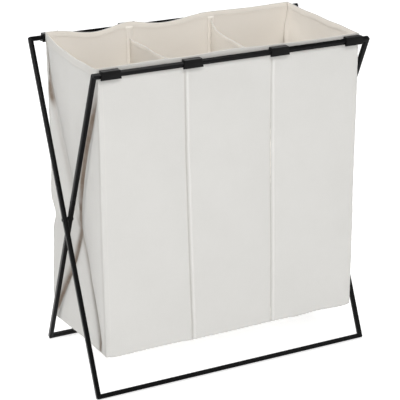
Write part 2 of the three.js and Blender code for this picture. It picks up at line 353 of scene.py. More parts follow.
class Nodes:
    """Short ways to add and wire shader nodes."""

    def __init__(self, tree):
        self.tree = tree

    def add(self, kind, **settings):
        node = self.tree.nodes.new("ShaderNode" + kind)
        for key, value in settings.items():
            if hasattr(node, key):
                setattr(node, key, value)
            else:
                node.inputs[key.replace("_", " ").title()].default_value = value
        return node

    def wire(self, source, target):
        self.tree.links.new(source, target)

    def math(self, operation, a, b=None):
        node = self.tree.nodes.new("ShaderNodeMath")
        node.operation = operation
        for socket, value in zip(node.inputs, (a, b)):
            if value is None:
                continue
            if isinstance(value, (int, float)):
                socket.default_value = value
            else:
                self.wire(value, socket)
        return node.outputs[0]

    def mix(self, factor, a, b):
        node = self.tree.nodes.new("ShaderNodeMix")
        node.data_type = "RGBA"
        for socket, value in zip((node.inputs[0], node.inputs[6], node.inputs[7]), (factor, a, b)):
            if isinstance(value, (int, float, tuple)):
                socket.default_value = value
            else:
                self.wire(value, socket)
        return node.outputs[2]

    def noise(self, vector, scale, detail=3.0, roughness=0.5):
        node = self.tree.nodes.new("ShaderNodeTexNoise")
        node.inputs["Scale"].default_value = scale
        node.inputs["Detail"].default_value = detail
        node.inputs["Roughness"].default_value = roughness
        self.wire(vector, node.inputs["Vector"])
        return node.outputs[0]

    def stretched(self, vector, scale):
        node = self.tree.nodes.new("ShaderNodeMapping")
        node.inputs["Scale"].default_value = scale
        self.wire(vector, node.inputs["Vector"])
        return node.outputs[0]

    def ramp(self, factor, low, high):
        node = self.tree.nodes.new("ShaderNodeMapRange")
        node.inputs["From Min"].default_value = low
        node.inputs["From Max"].default_value = high
        self.wire(factor, node.inputs["Value"])
        return node.outputs[0]

    def bump(self, height, distance, strength):
        node = self.tree.nodes.new("ShaderNodeBump")
        node.inputs["Distance"].default_value = distance
        node.inputs["Strength"].default_value = strength
        self.wire(height, node.inputs["Height"])
        return node.outputs[0]


PAINTED_CREASE_SHADE = (0.205, 0.155, 0.118, 1)  # painted shade, standing in for the shadow inside a pressed fold or furrow
PAINTED_EDGE_HIGHLIGHT = (0.93, 0.92, 0.90, 1)  # painted highlight along a raised edge that stands out


def cloth_material(name, light, dark):
    """Plain-woven cream cloth: threads over and under each other, slubs, a faint uneven tone, and from a
    vertex attribute painted shade in creases and furrows and a painted highlight on raised edges.
    """
    material, tree, shader = new_material(name)
    n = Nodes(tree)
    place = n.add("Attribute", attribute_name="cloth").outputs["Vector"]
    split = n.add("SeparateXYZ")
    n.wire(place, split.inputs[0])
    checker = n.add("TexChecker", Scale=1 / WEAVE)
    n.wire(place, checker.inputs["Vector"])
    arches = []
    for axis in (0, 1):
        wave = n.math("SINE", n.math("MULTIPLY", split.outputs[axis], math.pi / WEAVE))
        arches.append(n.math("ABSOLUTE", wave))
    flat_u, flat_v = (n.math("POWER", arch, 0.35) for arch in arches)
    warp = n.math("MULTIPLY", arches[0], flat_v)
    weft = n.math("MULTIPLY", arches[1], flat_u)
    over = checker.outputs["Fac"]
    under = n.math("SUBTRACT", 1.0, over)
    weave = n.math("ADD", n.math("MULTIPLY", warp, over), n.math("MULTIPLY", weft, under))
    slub_u = n.noise(n.stretched(place, (40, 900, 1)), 1.0, 2.0)
    slub_v = n.noise(n.stretched(place, (900, 40, 1)), 1.0, 2.0)
    slubs = n.math("ADD", n.math("MULTIPLY", slub_u, over), n.math("MULTIPLY", slub_v, under))
    tone = n.noise(place, 9.0, 4.0, 0.6)
    shade = n.math("ADD", n.math("MULTIPLY", weave, 0.45), n.math("MULTIPLY", slubs, 0.30))
    shade = n.math("ADD", shade, n.math("MULTIPLY", tone, 0.35))
    woven = n.mix(n.ramp(shade, 0.15, 0.95), dark, light)
    # Painted shade: where the vertex attribute is above 0 the cloth darkens towards a tan, standing in for
    # the shadow in creases and furrows; below 0 it lightens as a painted highlight.
    painted_amount = n.add("Attribute", attribute_name="painted_light_and_shade").outputs["Fac"]
    uneven = n.math("ADD", 0.65, n.math("MULTIPLY", n.noise(place, 45.0, 3.0, 0.6), 0.6))
    woven_with_painted_shade = n.mix(n.math("MULTIPLY", painted_amount, uneven), woven, PAINTED_CREASE_SHADE)
    n.wire(n.mix(n.math("MULTIPLY", painted_amount, -1.0), woven_with_painted_shade, PAINTED_EDGE_HIGHLIGHT), shader.inputs["Base Color"])
    fuzz = n.math("MULTIPLY", slubs, 0.12)
    n.wire(n.math("ADD", 0.84, fuzz), shader.inputs["Roughness"])
    shader.inputs["Specular IOR Level"].default_value = 0.25
    shader.inputs["Sheen Weight"].default_value = 0.18
    shader.inputs["Sheen Roughness"].default_value = 0.45
    shader.inputs["Sheen Tint"].default_value = (1.0, 0.98, 0.94, 1)
    height = n.math("ADD", weave, n.math("MULTIPLY", slubs, 0.6))
    n.wire(n.bump(height, 0.00022, 0.55), shader.inputs["Normal"])
    return material


def thread_material():
    material, tree, shader = new_material("sewing_thread")
    n = Nodes(tree)
    place = n.add("Attribute", attribute_name="cloth").outputs["Vector"]
    twist = n.noise(n.stretched(place, (2600, 900, 900)), 1.0, 2.0)
    tone = n.mix(n.ramp(twist, 0.3, 0.7), (0.64, 0.615, 0.56, 1), (0.79, 0.78, 0.74, 1))
    n.wire(tone, shader.inputs["Base Color"])
    shader.inputs["Roughness"].default_value = 0.6
    shader.inputs["Sheen Weight"].default_value = 0.2
    n.wire(n.bump(twist, 0.00012, 0.6), shader.inputs["Normal"])
    return material


def convex_edge_mask(n, radius):
    """1 along convex edges and 0 on flats, from how far a rounded normal leans off the true one."""
    rounded = n.add("Bevel", samples=4)
    rounded.inputs["Radius"].default_value = radius
    true = n.add("NewGeometry").outputs["Normal"]
    dot = n.tree.nodes.new("ShaderNodeVectorMath")
    dot.operation = "DOT_PRODUCT"
    n.wire(rounded.outputs[0], dot.inputs[0])
    n.wire(true, dot.inputs[1])
    return n.ramp(dot.outputs["Value"], 0.995, 0.90)


def powder_coat_material():
    """Black powder coat: satin, with orange peel, and paler along its convex edges: a little rubbed wear,
    and a painted highlight where the rounded edges catch the light.
    """
    material, tree, shader = new_material("black_powder_coat")
    n = Nodes(tree)
    place = n.add("TexCoord").outputs["Object"]
    peel = n.noise(place, 900.0, 2.0, 0.5)
    grain = n.noise(place, 2600.0, 2.0, 0.6)
    patches = n.noise(place, 14.0, 4.0, 0.6)
    # Painted highlight: the convex edges are made paler in patches, partly rubbed wear and partly standing
    # in for the light the rounded edges catch.
    edge_patches = n.noise(place, 70.0, 4.0, 0.7)
    lighter_edges = n.math("MULTIPLY", convex_edge_mask(n, 0.0016), n.ramp(edge_patches, 0.28, 0.62))
    base = n.mix(n.ramp(patches, 0.3, 0.7), (0.0026, 0.0026, 0.0028, 1), (0.0044, 0.0044, 0.0046, 1))
    coat_with_edge_highlight = n.mix(n.math("MULTIPLY", lighter_edges, 0.6), base, (0.055, 0.056, 0.058, 1))
    n.wire(coat_with_edge_highlight, shader.inputs["Base Color"])
    rough = n.math("ADD", 0.25, n.math("MULTIPLY", n.ramp(patches, 0.3, 0.7), 0.08))
    n.wire(n.math("ADD", rough, n.math("MULTIPLY", lighter_edges, 0.12)), shader.inputs["Roughness"])
    shader.inputs["Specular IOR Level"].default_value = 0.09
    height = n.math("ADD", peel, n.math("MULTIPLY", grain, 0.25))
    n.wire(n.bump(height, 0.00010, 0.35), shader.inputs["Normal"])
    return material


def moulded_plastic_material(name, tone, roughness):
    """Black moulded polypropylene with a fine spark-eroded grain and paler rubbed edges."""
    material, tree, shader = new_material(name)
    n = Nodes(tree)
    place = n.add("TexCoord").outputs["Object"]
    grain = n.noise(place, 1900.0, 3.0, 0.65)
    flow = n.noise(n.stretched(place, (60, 160, 160)), 1.0, 3.0)
    scuff = n.noise(place, 120.0, 4.0, 0.7)
    lighter_edges = n.math("MULTIPLY", convex_edge_mask(n, 0.0006), n.ramp(scuff, 0.42, 0.66))
    light = tuple(1.5 * c for c in tone[:3]) + (1,)
    base = n.mix(n.ramp(flow, 0.35, 0.65), tone, light)
    n.wire(n.mix(n.math("MULTIPLY", lighter_edges, 0.7), base, (0.04, 0.039, 0.038, 1)), shader.inputs["Base Color"])
    shader.inputs["Specular IOR Level"].default_value = 0.12
    n.wire(n.math("ADD", roughness, n.math("MULTIPLY", grain, 0.14)), shader.inputs["Roughness"])
    n.wire(n.bump(grain, 0.00009, 0.5), shader.inputs["Normal"])
    return material


def rivet_material():
    """Blackened steel, burnished on the crown by the setting tool."""
    material, tree, shader = new_material("blackened_rivet_steel")
    n = Nodes(tree)
    place = n.add("TexCoord").outputs["Object"]
    marks = n.noise(place, 700.0, 3.0, 0.6)
    bare = n.math("MULTIPLY", convex_edge_mask(n, 0.0008), n.ramp(marks, 0.4, 0.6))
    n.wire(n.mix(bare, (0.03, 0.03, 0.032, 1), (0.22, 0.22, 0.22, 1)), shader.inputs["Base Color"])
    shader.inputs["Metallic"].default_value = 0.7
    n.wire(n.math("ADD", 0.28, n.math("MULTIPLY", marks, 0.2)), shader.inputs["Roughness"])
    n.wire(n.bump(marks, 0.00006, 0.5), shader.inputs["Normal"])
    return material


CREAM_LIGHT = (0.683, 0.676, 0.654, 1)
CREAM_DARK = (0.580, 0.571, 0.546, 1)
# Inside cloth: the cream cloth made brighter and warmer as painted bounce light, for the bag's inner faces,
# which lie in shade.
INSIDE_BOUNCE_LIGHT = (0.94, 0.897, 0.832, 1)
INSIDE_BOUNCE_DARK = (0.87, 0.820, 0.750, 1)
# Hem cloth: a slightly darker copy of the cream cloth, painted shade that tones down the hems' lit tops.
HEM_LIGHT = (0.66, 0.648, 0.618, 1)
HEM_DARK = (0.565, 0.550, 0.520, 1)

cloth = cloth_material("cream_cloth", CREAM_LIGHT, CREAM_DARK)
# A brighter, warmer copy of the cream cloth: painted bounce light on the inside.
inside_cloth_painted_bounce = cloth_material("cloth_inside_painted_bounce", INSIDE_BOUNCE_LIGHT, INSIDE_BOUNCE_DARK)
# A slightly darker copy of the cream cloth: painted shade on the hems.
hem_cloth_painted_shade = cloth_material("cream_hem_cloth_painted_shade", HEM_LIGHT, HEM_DARK)
thread = thread_material()
powder_coat = powder_coat_material()
clip_plastic = moulded_plastic_material("black_clip_plastic", (0.0036, 0.0035, 0.0034, 1), 0.34)
washer_plastic = moulded_plastic_material("black_washer_plastic", (0.010, 0.010, 0.0105, 1), 0.34)
rivet_steel = rivet_material()


# ---------------------------------------------------------------- shape of the bag
def back_edge_inset(z):
    """A back corner seam is drawn in above the side's fold, and kinks where the fold meets it."""
    upper = 0.0055 * smooth(0.28, 0.46, z)
    kink = 0.0085 * hump(z, GUSSET_Z - 0.008, 0.026) + 0.0030 * hump(z, GUSSET_Z - 0.06, 0.05)
    return upper + kink - 0.0022 * hump(z, 0.11, 0.06)


def edge_inset(side, end, z):
    """How far in from the bag's flat outline an upright corner seam runs."""
    if end > 0:
        return back_edge_inset(z) * (1.0 if side < 0 else 0.7 * smooth(0.66, 0.60, z))
    base = -0.0012 if side < 0 else 0.0018
    return base + 0.0006 * np.sin(z * 17 + side)


def bottom_edge(x, end):
    """Height of the bag's lower edge along the front or back: it dips a little under each divider."""
    dips = 0.0010 * (hump(x, -DIVIDER_X, 0.02) + hump(x, DIVIDER_X, 0.02))
    wave = 0.0008 * np.sin(x * 23 + end) + 0.0022 * hump(x, 0.205, 0.03) - 0.0014 * hump(x, 0.15, 0.03)
    corners = 0.0035 * smooth(HALF_WIDTH - 0.012, HALF_WIDTH, np.abs(x))
    return EDGE_Z[end] - 0.0005 - dips + wave + corners


HEM_WAVES = {
    # rise of the hem's top edge in the middle of each compartment, and where along it the wave peaks
    -1: ((0.0018, 0.62), (0.0034, 0.45), (-0.0012, 0.4)),
    1: ((-0.0125, 0.58), (-0.0108, 0.42), (-0.0015, 0.5)),
}
HEM_OVER_CLIP = {-1: 0.0030, 1: 0.0046}  # top edge of the hem at the clips, above the CAD's


def hem_edge(x, end):
    """Height of the hem's top edge: highest at the clips, and waving between them."""
    z = np.full_like(np.asarray(x, float), HEM_TOP + HEM_OVER_CLIP[end])
    for (low, high), (rise, peak) in zip(BAYS, HEM_WAVES[end]):
        t = np.clip((x - low) / (high - low), 0, 1)
        skewed = t ** (math.log(0.5) / math.log(peak))
        z = z + rise * np.sin(np.pi * skewed) ** 2
    return z


def seam_lean(x, z, end):
    """How far the front's divider seams run to the left of the dividers' places, most at the top."""
    if end > 0:
        return np.zeros_like(z)
    left = 0.0105 * np.clip((z - 0.12) / 0.38, 0, 1)
    right = 0.0050 + 0.0055 * np.clip((z - 0.12) / 0.38, 0, 1)
    return left * hump(x, -DIVIDER_X, 0.045) + right * hump(x, DIVIDER_X, 0.045)


def panel_y(x, z, end):
    """Middle surface of the front or back panel; x is measured along the cloth."""
    share = np.zeros_like(x)
    for low, high in BAYS:
        t = (x - (low + high) / 2) / ((high - low) / 2)
        share = np.maximum(share, np.clip(1 - t * t, 0, 1))
    free = smooth(HEM_BOTTOM, HEM_BOTTOM - 0.12, z)
    low_z = EDGE_Z[end]
    envelope = free * (0.55 + 0.45 * smooth(low_z, low_z + 0.10, z))
    out = BELLY * share * envelope
    for seam in (-DIVIDER_X, DIVIDER_X):
        near = hump(x, seam, GROOVE_WIDTH)
        pucker = 1 + 0.06 * np.sin(z * 2 * np.pi / 0.021 + 2 * np.sin(z * 31))
        out = out - GROOVE[end] * near * pucker * (0.35 + 0.65 * free)
        out = out + 0.0007 * free * hump(x, seam + 0.014, 0.010) * (1 + 0.5 * np.sin(z * 12 + seam * 40))
        out = out + 0.0010 * hump(x, seam + 0.0062, 0.0022) * (0.4 + 0.6 * free)
    ripple = 0.0007 * wobble(x, z, 0.32, 1.1, 5 + end) + 0.00045 * wobble(x, z, 0.13, 0.45, 9 + end)
    out = out + ripple * free
    turn = np.clip((np.abs(x) - (HALF_WIDTH - CORNER)) / CORNER, 0, 1)
    out = out - CORNER * 0.45 * (1 - np.sqrt(np.clip(1 - turn * turn, 0, 1)))
    return end * (SHEET_Y + out)


def panel_place(end):
    def place(u, v):
        low, high = bottom_edge(u, end), hem_edge(u, end)
        # Waves at the hem die out a little way down, and those of the lower edge a little way up.
        z = v + (high - HEM_TOP) * smooth(HEM_TOP - 0.05, HEM_TOP, v)
        z = z + (low - EDGE_Z[end]) * smooth(EDGE_Z[end] + 0.05, EDGE_Z[end], v)
        side = np.where(u < 0, -1.0, 1.0)
        inset = np.where(side < 0, edge_inset(-1, end, z), edge_inset(1, end, z))
        x = u - side * inset * (np.abs(u) / HALF_WIDTH) ** 6 - seam_lean(u, z, end)
        return x, panel_y(u, z, end), z

    return place


def crease_y(z, end):
    """Where the front or back crease of a side runs at a height."""
    upper = np.polyval(CREASE_CURVES["upper", end], z)
    lower = np.polyval(CREASE_CURVES["lower", end], z)
    return np.clip(np.where(z > GUSSET_Z, upper, lower), -SHEET_Y + 0.001, SHEET_Y - 0.001)


def crease_distance(y, z, end):
    """Distance from one of a side's creases, square to it."""
    slope = (crease_y(z + 0.002, end) - crease_y(z - 0.002, end)) / 0.004
    return np.abs(y - crease_y(z, end)) / np.sqrt(1 + np.clip(slope, -1.5, 1.5) ** 2)


def fold_share(y, z):
    """How far in a place on a side is, from 0 at its edges to 1 at its middle over four facets, and the
    same for the deepest place at its height."""
    low = side_bottom(y)
    level = np.minimum((z - low) / (GUSSET_Z - low), (SIDE_RIM - z) / (SIDE_RIM - GUSSET_Z))
    front = (y + SHEET_Y) / (crease_y(z, -1) + SHEET_Y)
    back = (SHEET_Y - y) / (SHEET_Y - crease_y(z, 1))
    return np.clip(level, 0, 1) * np.clip(np.minimum(front, back), 0, 1), np.clip(level, 0, 1)


def crease_depth(y, z):
    """1 along the pressed creases of a side, fading towards its corners and its middle."""
    level = fold_share(y, z)[1]
    near = np.minimum(crease_distance(y, z, -1), crease_distance(y, z, 1))
    return hump(near, 0, TRENCH_WIDTH) * smooth(0.0, 0.14, level) * (1 - 0.75 * smooth(0.65, 1.0, level))


def crease_painted_shade(y, z):
    """How much painted shade a side's creases get, standing in for the shadow inside the folds: most in the
    upper front one and the top of the upper back one.
    """
    upper = smooth(GUSSET_Z - 0.01, GUSSET_Z + 0.03, z)
    front = 1.4 * hump(crease_distance(y - 0.002, z, -1), 0, 0.0065 + 0.0030 * upper)
    back = 1.3 * hump(crease_distance(y - 0.010 * upper, z, 1), 0, 0.0085)
    upper_front = smooth(0.66, 0.56, z) * (1 - 0.4 * hump(z, 0.375, 0.022))
    front = front * (upper * upper_front + (1 - upper) * (0.42 + 0.30 * smooth(0.13, 0.09, z)))
    upper_back = 0.14 + 0.72 * smooth(0.53, 0.565, z) * smooth(0.635, 0.60, z)
    back = back * (upper * upper_back + (1 - upper) * 0.95 * smooth(0.06, 0.09, z))
    # Painted shade in a faint strip beside the front corner seam.
    along_corner = 0.16 * hump(y, -SHEET_Y + 0.009, 0.004) * smooth(0.63, 0.58, z)
    return np.clip(np.maximum(front, back) + along_corner, 0, 1)


def side_inset(y, z, side):
    """How far a side is drawn in from its flat place."""
    share = fold_share(y, z)[0]
    near = np.minimum(crease_distance(y, z, -1), crease_distance(y, z, 1))
    billow = 0.0022 * np.sin(np.pi * share) * smooth(0.004, 0.03, near)
    rough = 0.0008 * wobble(y, z, 0.20, 0.45, 21 + side) + 0.0004 * wobble(y, z, 0.08, 0.2, 31 + side)
    return GUSSET * share + TRENCH * crease_depth(y, z) - billow + rough * smooth(0, 0.15, share)


def side_bottom(y):
    """Height of a side's lower edge."""
    t = (y + SHEET_Y) / (2 * SHEET_Y)
    return EDGE_Z[-1] + (EDGE_Z[1] - EDGE_Z[-1]) * t + 0.0015 * np.sin(np.pi * t)


def side_top(y, side):
    """Height of a side's rim: it meets the hems at the corners, and the left one hangs slacker."""
    corner = HEM_TOP + (0.0020 if side < 0 else 0.0034)
    sag = 0.0078 if side < 0 else 0.0012
    return corner - sag * (1 - np.abs(y / SHEET_Y) ** 3) + 0.0006 * np.sin(y * 60)


def side_x(y, z, side):
    """Middle surface of a side."""
    back_share = smooth(-SHEET_Y * 0.2, SHEET_Y, y) ** 1.5
    front_share = smooth(-SHEET_Y * 0.2, -SHEET_Y, y) ** 1.5
    edges = edge_inset(side, 1, z) * back_share + edge_inset(side, -1, z) * front_share
    turn = np.clip((np.abs(y) - (SHEET_Y - CORNER)) / CORNER, 0, 1)
    rounded = CORNER * 0.45 * (1 - np.sqrt(np.clip(1 - turn * turn, 0, 1)))
    half = HALF_WIDTH - CLOTH / 2
    return side * (half - edges - side_inset(y, z, side) - rounded)


def side_place(side):
    def place(u, v):
        low, high = side_bottom(u), side_top(u, side)
        z = low + v * (high - low)
        return side_x(u, z, side), u, z

    return place


def divider_top(y, side):
    """Top edge of a divider: it rises to the front, and the right one is caught up at the back too."""
    if side < 0:
        return DIVIDER_TOP - 0.0035 + 0.004 * smooth(SHEET_Y, 0, y) + 0.012 * smooth(0.03, -SHEET_Y, y)
    back_end = 0.0275 * np.exp(-(SHEET_Y - y) / 0.020)
    return DIVIDER_TOP - 0.0080 + back_end + 0.012 * smooth(0.0, -SHEET_Y, y)


def base_z(x, y):
    """Height of the base, which sags a little in each compartment."""
    t = (y + SHEET_Y) / (2 * SHEET_Y)
    flat = EDGE_Z[-1] + (EDGE_Z[1] - EDGE_Z[-1]) * t
    sag = np.zeros_like(x)
    for low, high in BAYS:
        s = np.clip((x - low) / (high - low), 0, 1)
        sag = np.maximum(sag, np.sin(np.pi * s) * np.sin(np.pi * np.clip(t, 0, 1)))
    return flat + CLOTH - 0.0045 * sag + 0.0005 * wobble(x, y, 0.2, 0.15, 77) * sag


# ---------------------------------------------------------------- pieces of the bag
def add_panel(end):
    """The front or back of the bag, one sheet across all three compartments."""
    name = END_NAMES[end]
    us = with_lines(steps(-HALF_WIDTH, HALF_WIDTH), (-DIVIDER_X, DIVIDER_X))
    us = with_lines(us, (-HALF_WIDTH + 0.003, HALF_WIDTH - 0.003), 0.0029)
    vs = steps(EDGE_Z[end], HEM_TOP - HEM_CLOTH)

    # Painted shade in the furrow just left of each divider seam, and a painted highlight (below 0) on the
    # raised cloth just right of it, both fading out towards the hem.
    def painted_light_and_shade(x, z):
        line = 0.34 * hump(x, -DIVIDER_X - 0.0008, 0.0017) + 0.24 * hump(x, DIVIDER_X - 0.0008, 0.0015)
        ridge = hump(x, -DIVIDER_X + 0.0042, 0.0017) + hump(x, DIVIDER_X + 0.0042, 0.0017)
        return (line - 0.35 * ridge) * smooth(HEM_BOTTOM + 0.002, HEM_BOTTOM - 0.01, z)

    panel = sheet_object(f"{name}_cloth", us, vs, panel_place(end), flip=end > 0, painted_light_and_shade=painted_light_and_shade)
    dress(panel, cloth, inside_cloth_painted_bounce)
    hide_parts(f"{name}_panel")
    hang(panel)
    return panel


def hem_section(half_thickness, low_drop, high_drop, count=6):
    """Outline of a hem folded over the cloth's edge, as pairs of thickness-wise and downward offsets.
    The flap on the side of negative offsets hangs down by low_drop, the other by high_drop."""
    outer, inner = [], []
    for k in range(count + 1):
        a = math.pi * k / count
        outer.append((-half_thickness * math.cos(a), half_thickness * math.sin(a)))
    wall = half_thickness - HEM_CLOTH
    for k in range(count, -1, -1):
        a = math.pi * k / count
        inner.append((-wall * math.cos(a), wall * math.sin(a)))
    crisp = 0.0004  # a second point this near an edge keeps the flap beside it evenly shaded
    low = [(-half_thickness, -low_drop), (-half_thickness, crisp - low_drop)]
    high = [(half_thickness, crisp - high_drop), (half_thickness, -high_drop), (wall, -high_drop)]
    return low + outer + high + inner + [(-wall, -low_drop)]


def hem_band(name, path, across, half_thickness, drops, inside, wave_seed):
    """A folded hem along a path; across gives the thickness direction at each point, and inside which
    way along it the bag's inside lies, 0 for both. The flap on that side gets the inside cloth, made
    brighter and warmer as painted bounce light."""
    outline = hem_section(half_thickness, *drops)
    drop = min(drops)
    along = lengths_along(path)
    lower = 0.0004 * wobble(along, along * 0, 0.05, 1, wave_seed)
    sections = []
    for way, uneven in zip(np.asarray(across, float), lower):
        ring = [way * t + np.array([0, 0, h + (uneven if h < -0.5 * drop else 0)]) for t, h in outline]
        sections.append(ring)
    band = sweep(name, path, sections)
    set_cloth(band, band_places(along, lengths_along(outline)))
    # The hem's outside gets the darker copy of the cream cloth as painted shade.
    dress(band, hem_cloth_painted_shade)
    band.data.materials.append(inside_cloth_painted_bounce)
    # These flaps face the inside and get its painted bounce light.
    flaps = {-1: 0, 1: len(outline) // 2 - 2}
    bounce_lit_flaps = [first + k for face, first in flaps.items() if inside in (face, 0) for k in (0, 1)]
    for k in range(len(path) - 1):
        for face in bounce_lit_flaps:
            band.data.polygons[k * len(outline) + face].material_index = 1
    return band


STITCH_PROFILE = (
    # share of a stitch's length, and its thickness and lift there as shares of the thread's radius
    (0.0, 0.35, -0.5),
    (0.14, 0.9, 0.15),
    (0.5, 1.0, 0.45),
    (0.86, 0.9, 0.15),
    (1.0, 0.35, -0.5),
)


def stitch_faces(base):
    """Faces of one stitch whose points start at a number: its sides and two ends."""
    rings, sides = len(STITCH_PROFILE), STITCH_SIDES
    shell = [tuple(base + i for i in face[::-1]) for face in grid_faces(rings, sides, loop=True)]
    first = tuple(base + k for k in range(sides))
    last = tuple(base + (rings - 1) * sides + k for k in range(sides))[::-1]
    return shell + [first, last]


def stitch_mesh(name, path, out):
    """A row of stitches: short rounded threads lying along a path, each dipping into the cloth."""
    path, out = np.asarray(path, float), np.asarray(out, float)
    along = lengths_along(path)

    def at_length(run, length):
        return np.array([np.interp(length, along, run[:, k]) for k in range(3)])

    points, faces, cloth_at = [], [], []
    for start in np.arange(0.001, along[-1] - STITCH, STITCH + STITCH_GAP):
        faces += stitch_faces(len(points))
        for share, fat, lift in STITCH_PROFILE:
            at = start + share * STITCH
            centre, up = at_length(path, at), at_length(out, at)
            up = up / np.linalg.norm(up)
            ahead = at_length(path, at + 1e-4) - centre
            ahead = ahead / max(np.linalg.norm(ahead), 1e-9)
            sideways = np.cross(up, ahead)
            for k in range(STITCH_SIDES):
                a = 2 * math.pi * k / STITCH_SIDES
                raised = centre + up * (THREAD * (lift + fat * math.sin(a)))
                points.append(raised + sideways * THREAD * fat * math.cos(a))
                cloth_at.append((at, k * THREAD, 0.5 * WEAVE))
    return mesh_object(name, points, faces, cloth_at)


def stitches(name, rows):
    obj = join(name, [stitch_mesh(f"{name}_{k}", path, out) for k, (path, out) in enumerate(rows)])
    return dress(obj, thread)


def hem_stitches(name, path, across, half_thickness, insets):
    """A row of stitches on each face of a hem, as far below its middle line as insets says."""
    rows = []
    for face in (-1, 1):
        seam = path + face * half_thickness * np.asarray(across, float)
        seam[:, 2] -= insets[face]
        rows.append((seam, np.tile(np.multiply(face, across, dtype=float), (len(path), 1))))
    return stitches(name, rows)


def add_end_hem(end):
    """Hem of the front or back: the cloth turned over, held under the clips, and stitched."""
    name = END_NAMES[end]
    half_thickness = (OUTSIDE - INSIDE) / 2 - 0.00005
    drops = {-end: INNER_HEM, end: HEM_TOP - HEM_BOTTOM - half_thickness}
    x = steps(-HALF_WIDTH, HALF_WIDTH, 0.004)
    z = hem_edge(x, end) - half_thickness
    inset = np.where(x < 0, edge_inset(-1, end, z), edge_inset(1, end, z)) * (np.abs(x) / HALF_WIDTH) ** 6
    px = x - np.sign(x) * inset
    path = np.stack([px, np.full_like(x, end * SHEET_Y), z], 1)
    across = np.tile((0.0, 1.0, 0.0), (len(x), 1))
    both = (drops[-1], drops[1])
    band = hem_band(f"{name}_hem_band", path, across, half_thickness, both, -end, 41 + end)
    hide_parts(f"{name}_hem")
    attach(band, FRAME_OF[end])
    insets = {face: drop - STITCH_INSET for face, drop in drops.items()}
    sewn = hem_stitches(f"{name}_hem_stitches", path, (0, 1, 0), half_thickness, insets)
    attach(sewn, FRAME_OF[end])
    return [band, sewn]


def add_side(side):
    """One folded side of the bag."""
    name = SIDE_NAMES[side]
    reach = SHEET_Y - CLOTH
    us = steps(-reach, reach, 0.0022)
    length = SIDE_RIM - (EDGE_Z[-1] + EDGE_Z[1]) / 2
    shares = steps(0, length, 0.0028) / length
    place, flip = side_place(side), side < 0
    # The side's creases get painted shade.
    piece = sheet_object(f"{name}_side_cloth", us, shares, place, flip=flip, painted_light_and_shade=crease_painted_shade)
    set_cloth(piece, cloth_places(*np.meshgrid(us, shares * length)))
    dress(piece, cloth, inside_cloth_painted_bounce)
    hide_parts(*[f"{name}_side_{facet}_fold" for facet in ("bottom", "back", "top", "front")])
    flatten(piece)
    return piece, length


def add_side_hem(side):
    name = SIDE_NAMES[side]
    drops = {-side: INNER_HEM, side: SIDE_RIM - side_hem_low.z + 0.002}
    reach = side_hem_high.y
    y = steps(-reach, reach, 0.004)
    z = side_top(y, side) - SIDE_HEM
    path = np.stack([side_x(y, z, side), y, z], 1)
    across = np.tile((1.0, 0.0, 0.0), (len(y), 1))
    both = (drops[-1], drops[1])
    band = hem_band(f"{name}_hem_band", path, across, SIDE_HEM, both, -side, 61 + side)
    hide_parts(f"{name}_hem")
    flatten(band)
    insets = {face: drop - STITCH_INSET for face, drop in drops.items()}
    sewn = hem_stitches(f"{name}_hem_stitches", path, (1, 0, 0), SIDE_HEM, insets)
    flatten(sewn)
    return [band, sewn]


def add_divider(side):
    """Divider sheet with a narrow turned edge along its top."""
    name = SIDE_NAMES[side]
    x_middle = side * DIVIDER_X
    reach = INSIDE - GROOVE[-1] * 0.6
    us = steps(-reach, reach)
    length = DIVIDER_TOP + 0.02 - (EDGE_Z[-1] + EDGE_Z[1]) / 2
    shares = steps(0, length) / length

    def bow(y, z):
        loose = np.cos(np.pi / 2 * np.clip(y / reach, -1, 1))
        wide, narrow = wobble(y, z, 0.5, 0.9, 90 + side), wobble(y, z, 0.15, 0.3, 95 + side)
        return (0.0035 * wide + 0.0012 * narrow) * loose

    def lean(y, z):
        return seam_lean(np.full_like(y, x_middle), z, -1) * smooth(reach * 0.4, -reach, y)

    def place(u, v):
        low = base_z(np.full_like(u, x_middle), u) + CLOTH
        z = low + v * (divider_top(u, side) - low)
        return x_middle + bow(u, z) - lean(u, z), u, z

    piece = sheet_object(f"{name}_divider_cloth", us, shares, place)
    set_cloth(piece, cloth_places(*np.meshgrid(us, shares * length)))
    # The whole divider gets the inside cloth's painted bounce light.
    dress(piece, inside_cloth_painted_bounce)
    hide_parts(f"{name}_divider")
    flatten(piece)
    z = divider_top(us, side) + 0.0004
    x = x_middle + bow(us, z) - lean(us, z)
    path = np.stack([x, us, z - DIVIDER_HEM], 1)
    across = np.tile((1.0, 0.0, 0.0), (len(us), 1))
    both = (DIVIDER_HEM_DROP, DIVIDER_HEM_DROP)
    band = hem_band(f"{name}_divider_hem", path, across, DIVIDER_HEM, both, 0, 71 + side)
    flatten(band)
    below = DIVIDER_HEM_DROP - 0.0012
    sewn = hem_stitches(f"{name}_divider_stitches", path, (1, 0, 0), DIVIDER_HEM, {-1: below, 1: below})
    flatten(sewn)
    return piece, [band, sewn], length


def add_base():
    """The bag's bottom, one sheet under all three compartments."""
    reach = SHEET_Y - CLOTH
    us = with_lines(steps(-HALF_WIDTH + 0.002, HALF_WIDTH - 0.002, 0.006), (-DIVIDER_X, DIVIDER_X))
    vs = steps(-reach, reach, 0.006)

    def place(u, v):
        return u, v, base_z(u, v)

    base = sheet_object("base_cloth", us, vs, place)
    dress(base, cloth)
    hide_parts("base_panel")
    flatten(base)
    return base


def blunt_cosine(angle, power):
    """A cosine pushed towards 1 and -1, for a section with blunter ends than an oval's."""
    return math.copysign(abs(math.cos(angle)) ** power, math.cos(angle))


FIN_POINTS, TAPE_POINTS = 12, 16  # corners of a turned seam's section and of a tape's


